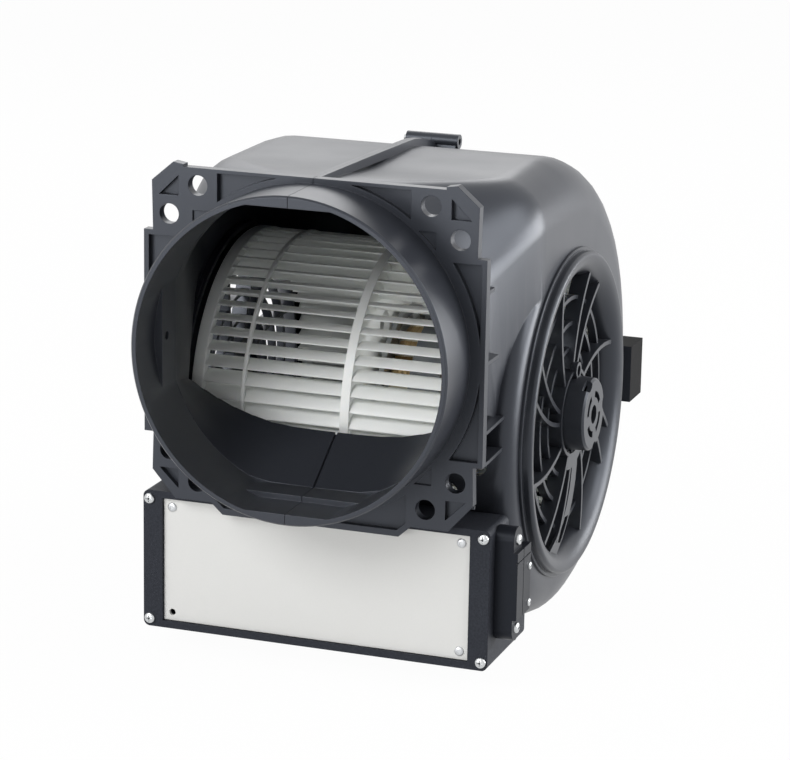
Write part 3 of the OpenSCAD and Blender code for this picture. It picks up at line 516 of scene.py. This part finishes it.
def cage_tree(material):
    """Blades with round edges from one arc, a ring at the end and one between, along Z from the origin."""
    tree, size = new_tree("blade_cage", Blades=BLADES, Length=0.1, Radius=0.1, Thickness=BLADE_THICKNESS,
                          Centre=(0.0, 0.0, 0.0), ArcRadius=0.01, ArcStart=0.0, ArcSpan=1.0,
                          Place=(0.0, 0.0, 0.0), Turn=(0.0, 0.0, 0.0), Flip=(1.0, 1.0, 1.0))

    # The section: a circle of points, laid along the arc and spread to the blade's thickness
    outline = add(tree, "GeometryNodeCurvePrimitiveCircle", {"Resolution": PROFILE_POINTS, "Radius": 1.0})
    index = add(tree, "GeometryNodeInputIndex")
    turn = add(tree, "ShaderNodeMath", {0: index, 1: FULL_TURN / PROFILE_POINTS}, operation="MULTIPLY")
    along = add(tree, "ShaderNodeMath", {0: turn}, operation="COSINE")
    rise = add(tree, "ShaderNodeMath", {0: turn}, operation="SINE")
    flat = add(tree, "ShaderNodeMath", {0: rise}, operation="ABSOLUTE")
    flat = add(tree, "ShaderNodeMath", {0: flat, 1: BLADE_TAPER}, operation="POWER")
    side = add(tree, "ShaderNodeMath", {0: rise}, operation="SIGN")
    side = add(tree, "ShaderNodeMath", {0: side, 1: flat}, operation="MULTIPLY")
    half = add(tree, "ShaderNodeMath", {0: size["Thickness"], 1: -0.5}, operation="MULTIPLY")
    reach = add(tree, "ShaderNodeMath", {0: side, 1: half, 2: size["ArcRadius"]}, operation="MULTIPLY_ADD")
    share = add(tree, "ShaderNodeMath", {0: along, 1: 0.5, 2: 0.5}, operation="MULTIPLY_ADD")
    angle = add(tree, "ShaderNodeMath", {0: share, 1: size["ArcSpan"], 2: size["ArcStart"]},
                operation="MULTIPLY_ADD")
    way_x = add(tree, "ShaderNodeMath", {0: angle}, operation="COSINE")
    way_y = add(tree, "ShaderNodeMath", {0: angle}, operation="SINE")
    way = add(tree, "ShaderNodeCombineXYZ", {"X": way_x, "Y": way_y})
    point = add(tree, "ShaderNodeVectorMath", {0: way, "Scale": reach}, operation="SCALE")
    point = add(tree, "ShaderNodeVectorMath", {0: point, 1: size["Centre"]}, operation="ADD")
    outline = add(tree, "GeometryNodeSetPosition", {"Geometry": outline, "Position": point})

    # One blade along the cage, repeated around the axis
    end = add(tree, "ShaderNodeCombineXYZ", {"Z": size["Length"]})
    rail = add(tree, "GeometryNodeCurvePrimitiveLine", {"End": end})
    blade = add(tree, "GeometryNodeCurveToMesh",
                {"Curve": rail, "Profile Curve": outline, "Fill Caps": True})
    spots = add(tree, "GeometryNodeMeshLine", {"Count": size["Blades"], "Offset": (0, 0, 0)})
    pitch = add(tree, "ShaderNodeMath", {0: FULL_TURN, 1: size["Blades"]}, operation="DIVIDE")
    around = add(tree, "ShaderNodeMath", {0: index, 1: pitch}, operation="MULTIPLY")
    around = add(tree, "ShaderNodeCombineXYZ", {"Z": around})
    blades = add(tree, "GeometryNodeInstanceOnPoints",
                 {"Points": spots, "Instance": blade, "Rotation": around})

    # The rings that tie the blades
    rings = []
    for depth, width, share, shift in (
            (END_RING_DEPTH, END_RING_WIDTH, 1.0, -END_RING_WIDTH / 2),
            (TIE_RING_DEPTH, TIE_RING_WIDTH, TIE_RING_PLACE, TIE_RING_WIDTH / 2)):
        section = add(tree, "GeometryNodeCurvePrimitiveQuadrilateral", {"Width": depth, "Height": width})
        section = add(tree, "GeometryNodeFilletCurve",
                      {"Curve": section, "Count": RING_EDGE_POINTS, "Radius": RING_EDGE}, mode="POLY")
        middle = add(tree, "ShaderNodeMath", {0: size["Radius"], 1: depth / 2}, operation="SUBTRACT")
        circle = add(tree, "GeometryNodeCurvePrimitiveCircle", {"Resolution": RING_POINTS, "Radius": middle})
        ring = add(tree, "GeometryNodeCurveToMesh", {"Curve": circle, "Profile Curve": section})
        lift = add(tree, "ShaderNodeMath", {0: size["Length"], 1: share, 2: shift}, operation="MULTIPLY_ADD")
        lift = add(tree, "ShaderNodeCombineXYZ", {"Z": lift})
        rings.append(add(tree, "GeometryNodeTransform", {"Geometry": ring, "Translation": lift}))

    cage = add(tree, "GeometryNodeJoinGeometry")
    for part in [blades] + rings:
        tree.links.new(part, cage.node.inputs[0])
    cage = add(tree, "GeometryNodeTransform", {"Geometry": cage, "Scale": size["Flip"]})
    placed = add(tree, "GeometryNodeTransform",
                 {"Geometry": cage, "Translation": size["Place"], "Rotation": size["Turn"]})
    close_tree(tree, placed, material)
    return tree


def face_outwards(mesh):
    """Turns the faces of a mirrored mesh outwards again."""
    bm = bmesh.new()
    bm.from_mesh(mesh)
    bmesh.ops.recalc_face_normals(bm, faces=bm.faces)
    bm.to_mesh(mesh)
    bm.free()


def impeller_cages():
    """A cage on each side of the web, the left one mirrored."""
    tree = cage_tree(impeller_plastic)
    for name, side in (("impeller_left", -1.0), ("impeller_right", 1.0)):
        low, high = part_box(name)
        radius = (high.z - low.z) / 2
        centre, arc_radius, start, span = blade_arc(radius)
        root = high.x if side < 0 else low.x
        cage = grown(name + "_cage", tree, Length=high.x - low.x, Radius=radius, Centre=(*centre, 0.0),
                     ArcRadius=arc_radius, ArcStart=start, ArcSpan=span, Place=(root, AXIS.y, AXIS.z),
                     Turn=TO_AXIS, Flip=(1.0, 1.0, side))
        face_outwards(cage.data)
        on_body(cage, "rotor", slot_of[name], name)


impeller_cages()

# Screws and rivets: one head and one shank, set on a point for each fastener

SCREWS = ("frame_screws", "cover_screws", "motor_screws", "seam_screws")
# The way each fastener's head looks
AIMS = {"frame_screws": (0, -1, 0), "cover_screws": (1, 0, 0), "motor_screws": (1, 0, 0),
        "seam_screws": (-1, 0, 0), "plate_rivets": (0, -1, 0)}
# Corners of a solid that lie on the head's rim, as a share of its radius, and at the end of its shank
RIM_SHARE = 0.95
SHANK_END = 0.1 * MM

# Head shapes, in parts of the head's radius and height
SEGMENTS = 32
DOME_RINGS = 14
# Less than one makes the dome fuller than a half ball
DOME_FULLNESS = 0.55
CROSS_LENGTH = 1.2
CROSS_WIDTH = 0.2
DIMPLE_RADIUS = 0.42
DIMPLE_POINTS = 20
CUTTER_DEPTH = 1.0
SCREW_RECESS = 0.45
RIVET_RECESS = 0.3


def islands(name):
    """The corners of each separate solid of a CAD node, in the mesh's own order."""
    bm = bmesh.new()
    bm.from_mesh(nodes[name].data)
    bmesh.ops.remove_doubles(bm, verts=bm.verts, dist=MERGE)
    reached = set()
    for first in bm.verts:
        if first in reached:
            continue
        reached.add(first)
        corners = []
        todo = [first]
        while todo:
            vert = todo.pop()
            corners.append(vert.co.copy())
            beside = {edge.other_vert(vert) for edge in vert.link_edges} - reached
            reached |= beside
            todo += beside
        yield corners
    bm.free()


def fastener_points(*names):
    """A mesh with a point under each fastener's head, with the aim and sizes that its CAD solid has."""
    rows = []
    for name in names:
        aim = Vector(AIMS[name])
        for corners in islands(name):
            middle = Vector((min(c[i] for c in corners) + max(c[i] for c in corners)) / 2 for i in range(3))
            heights = [(c - middle).dot(aim) for c in corners]
            widths = [((c - middle) - aim * h).length for c, h in zip(corners, heights)]
            top = max(heights)
            bottom = min(heights)
            head = max(widths)
            under = min(h for h, w in zip(heights, widths) if w > RIM_SHARE * head)
            shank = max(w for h, w in zip(heights, widths) if h < bottom + SHANK_END)
            rows.append((middle + under * aim, aim,
                         (head, head, top - under), (shank, shank, under - bottom)))
    mesh = bpy.data.meshes.new("fastener_points")
    mesh.from_pydata([row[0] for row in rows], [], [])
    for k, label in enumerate(("aim", "head", "shank"), 1):
        layer = mesh.attributes.new(label, "FLOAT_VECTOR", "POINT")
        layer.data.foreach_set("vector", [x for row in rows for x in row[k]])
    return mesh


def fastener_tree(name, material, crossed):
    """A low dome with a cross recess or a round dimple, and a shank, both scaled to each point's sizes."""
    tree, size = new_tree(name, Segments=SEGMENTS, Recess=0.5)
    ball = add(tree, "GeometryNodeMeshUVSphere",
               {"Segments": size["Segments"], "Rings": DOME_RINGS, "Radius": 1.0})
    place = add(tree, "GeometryNodeInputPosition")
    parts = add(tree, "ShaderNodeSeparateXYZ", {0: place}).node.outputs
    lift = add(tree, "ShaderNodeMath", {0: parts["Z"], 1: 0.0}, operation="MAXIMUM")
    lift = add(tree, "ShaderNodeMath", {0: lift, 1: DOME_FULLNESS}, operation="POWER")
    low = add(tree, "ShaderNodeCombineXYZ", {"X": parts["X"], "Y": parts["Y"], "Z": lift})
    dome = add(tree, "GeometryNodeSetPosition", {"Geometry": ball, "Position": low})

    if crossed:
        bars = ((CROSS_LENGTH, CROSS_WIDTH, CUTTER_DEPTH), (CROSS_WIDTH, CROSS_LENGTH, CUTTER_DEPTH))
        arms = [add(tree, "GeometryNodeMeshCube", {"Size": bar}) for bar in bars]
        cutter = add(tree, "GeometryNodeMeshBoolean", operation="UNION")
        for arm in arms:
            tree.links.new(arm, cutter.node.inputs["Mesh 2"])
    else:
        cutter = add(tree, "GeometryNodeMeshCylinder",
                     {"Vertices": DIMPLE_POINTS, "Radius": DIMPLE_RADIUS, "Depth": CUTTER_DEPTH})
    sunk = add(tree, "ShaderNodeMath", {0: 1 + CUTTER_DEPTH / 2, 1: size["Recess"]}, operation="SUBTRACT")
    sunk = add(tree, "ShaderNodeCombineXYZ", {"Z": sunk})
    cutter = add(tree, "GeometryNodeTransform", {"Geometry": cutter, "Translation": sunk})
    head = add(tree, "GeometryNodeMeshBoolean", {"Mesh 1": dome, "Mesh 2": cutter}, operation="DIFFERENCE")

    shank = add(tree, "GeometryNodeMeshCylinder",
                {"Vertices": size["Segments"], "Radius": 1.0, "Depth": 1.0})
    shank = add(tree, "GeometryNodeTransform", {"Geometry": shank, "Translation": (0, 0, -0.5)})
    aim = add(tree, "GeometryNodeInputNamedAttribute", {"Name": "aim"}, data_type="FLOAT_VECTOR")
    turn = add(tree, "FunctionNodeAlignRotationToVector", {"Vector": aim}, axis="Z")
    both = add(tree, "GeometryNodeJoinGeometry")
    for label, shape in (("head", head), ("shank", shank)):
        scale = add(tree, "GeometryNodeInputNamedAttribute", {"Name": label}, data_type="FLOAT_VECTOR")
        copies = add(tree, "GeometryNodeInstanceOnPoints",
                     {"Points": size["Geometry"], "Instance": shape, "Rotation": turn, "Scale": scale})
        tree.links.new(copies, both.node.inputs[0])
    close_tree(tree, both, material)
    return tree


screw_tree = fastener_tree("screws", zinc, crossed=True)
screws = grown("cross_recess_screws", screw_tree, fastener_points(*SCREWS), Recess=SCREW_RECESS)
on_body(screws, "housing", slot_of["frame_screws"], *SCREWS)
rivet_tree = fastener_tree("rivets", rivet_metal, crossed=False)
rivets = grown("dome_rivets", rivet_tree, fastener_points("plate_rivets"), Recess=RIVET_RECESS)
on_body(rivets, "housing", slot_of["plate_rivets"], "plate_rivets")

# Coil heads: a layer of wires around each, laced with cord

# Length of the stator between the heads, and radius of the heads' bore
STACK = 15 * MM
HEAD_BORE = 24.5 * MM
# One gives a head a round section, less a squarer one
COIL_SQUARENESS = 0.5
WIRE_POINTS = 72
LACE_POINTS = 20
SECTION_POINTS = 6
# Length over which a wire wanders, and the seed of its wandering
WANDER_LENGTH = 9 * MM
WANDER_SEED = 4.0
# For wires and lacing: how many, radius, how far each wanders, and its place outside the head's surface
WIRES = {"turns": 34, "radius": 0.65 * MM, "wander": 1.2 * MM, "outside": -0.25 * MM}
LACING = {"turns": 18, "radius": 0.5 * MM, "wander": 0.5 * MM, "outside": 0.3 * MM}


def coil_tree(name, material, strands):
    """A coil head's layer of round wires, or the cord loops around it, over a rounded square section."""
    tree, size = new_tree(name, Turns=30, Middle=0.03, HalfWidth=0.006, HalfDepth=0.006, Wire=0.0006,
                          Wander=0.0003, Seed=WANDER_SEED, Place=(0.0, 0.0, 0.0), Turn=(0.0, 0.0, 0.0))

    # Places around the head's section
    index = add(tree, "GeometryNodeInputIndex")
    count = size["Turns"] if strands else LACE_POINTS
    step = add(tree, "ShaderNodeMath", {0: FULL_TURN, 1: count}, operation="DIVIDE")
    turn = add(tree, "ShaderNodeMath", {0: index, 1: step}, operation="MULTIPLY")
    squared = []
    for operation, half in (("COSINE", size["HalfWidth"]), ("SINE", size["HalfDepth"])):
        wave = add(tree, "ShaderNodeMath", {0: turn}, operation=operation)
        sign = add(tree, "ShaderNodeMath", {0: wave}, operation="SIGN")
        flat = add(tree, "ShaderNodeMath", {0: wave}, operation="ABSOLUTE")
        flat = add(tree, "ShaderNodeMath", {0: flat, 1: COIL_SQUARENESS}, operation="POWER")
        flat = add(tree, "ShaderNodeMath", {0: flat, 1: sign}, operation="MULTIPLY")
        squared.append(add(tree, "ShaderNodeMath", {0: flat, 1: half}, operation="MULTIPLY"))
    reach = add(tree, "ShaderNodeMath", {0: squared[0], 1: size["Middle"]}, operation="ADD")

    # A wire is a circle around the axis at each place, a lacing loop runs through all of them
    spots = add(tree, "GeometryNodeMeshLine", {"Count": size["Turns"], "Offset": (0, 0, 0)})
    if strands:
        lift = add(tree, "ShaderNodeCombineXYZ", {"Z": squared[1]})
        spots = add(tree, "GeometryNodeSetPosition", {"Geometry": spots, "Position": lift})
        loop = add(tree, "GeometryNodeCurvePrimitiveCircle", {"Resolution": WIRE_POINTS, "Radius": 1.0})
        scale = add(tree, "ShaderNodeCombineXYZ", {"X": reach, "Y": reach, "Z": 1.0})
        loops = add(tree, "GeometryNodeInstanceOnPoints",
                    {"Points": spots, "Instance": loop, "Scale": scale})
    else:
        loop = add(tree, "GeometryNodeCurvePrimitiveCircle", {"Resolution": LACE_POINTS, "Radius": 1.0})
        point = add(tree, "ShaderNodeCombineXYZ", {"X": reach, "Z": squared[1]})
        loop = add(tree, "GeometryNodeSetPosition", {"Geometry": loop, "Position": point})
        pitch = add(tree, "ShaderNodeMath", {0: FULL_TURN, 1: size["Turns"]}, operation="DIVIDE")
        around = add(tree, "ShaderNodeMath", {0: index, 1: pitch}, operation="MULTIPLY")
        around = add(tree, "ShaderNodeCombineXYZ", {"Z": around})
        loops = add(tree, "GeometryNodeInstanceOnPoints",
                    {"Points": spots, "Instance": loop, "Rotation": around})
    loops = add(tree, "GeometryNodeRealizeInstances", {"Geometry": loops})

    # Each loop wanders a little and gets its thickness
    drift = add(tree, "ShaderNodeTexNoise", {"W": size["Seed"], "Scale": 1 / WANDER_LENGTH, "Detail": 1.0},
                "Color", noise_dimensions="4D")
    drift = add(tree, "ShaderNodeVectorMath", {0: drift, 1: (0.5, 0.5, 0.5)}, operation="SUBTRACT")
    drift = add(tree, "ShaderNodeVectorMath", {0: drift, "Scale": size["Wander"]}, operation="SCALE")
    loops = add(tree, "GeometryNodeSetPosition", {"Geometry": loops, "Offset": drift})
    section = add(tree, "GeometryNodeCurvePrimitiveCircle",
                  {"Resolution": SECTION_POINTS, "Radius": size["Wire"]})
    wires = add(tree, "GeometryNodeCurveToMesh", {"Curve": loops, "Profile Curve": section})
    wires = add(tree, "GeometryNodeTransform",
                {"Geometry": wires, "Translation": size["Place"], "Rotation": size["Turn"]})
    close_tree(tree, wires, material)
    return tree


def coil_heads():
    """Wires and lacing on the front and the rear coil head."""
    low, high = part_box("windings")
    outer = (high.z - low.z) / 2
    depth = (high.x - low.x - STACK) / 2
    middle = (outer + HEAD_BORE) / 2
    half = (outer - HEAD_BORE) / 2
    layers = ((coil_tree("wires", copper, strands=True), WIRES),
              (coil_tree("lacing", cord, strands=False), LACING))
    for side, x in (("front", low.x + depth / 2), ("rear", high.x - depth / 2)):
        for tree, layer in layers:
            made = grown(f"{tree.name}_{side}", tree, Turns=layer["turns"], Middle=middle,
                         HalfWidth=half + layer["outside"], HalfDepth=depth / 2 + layer["outside"],
                         Wire=layer["radius"], Wander=layer["wander"], Seed=WANDER_SEED,
                         Place=(x, AXIS.y, AXIS.z), Turn=TO_AXIS)
            on_body(made, "housing", slot_of["windings"])


coil_heads()
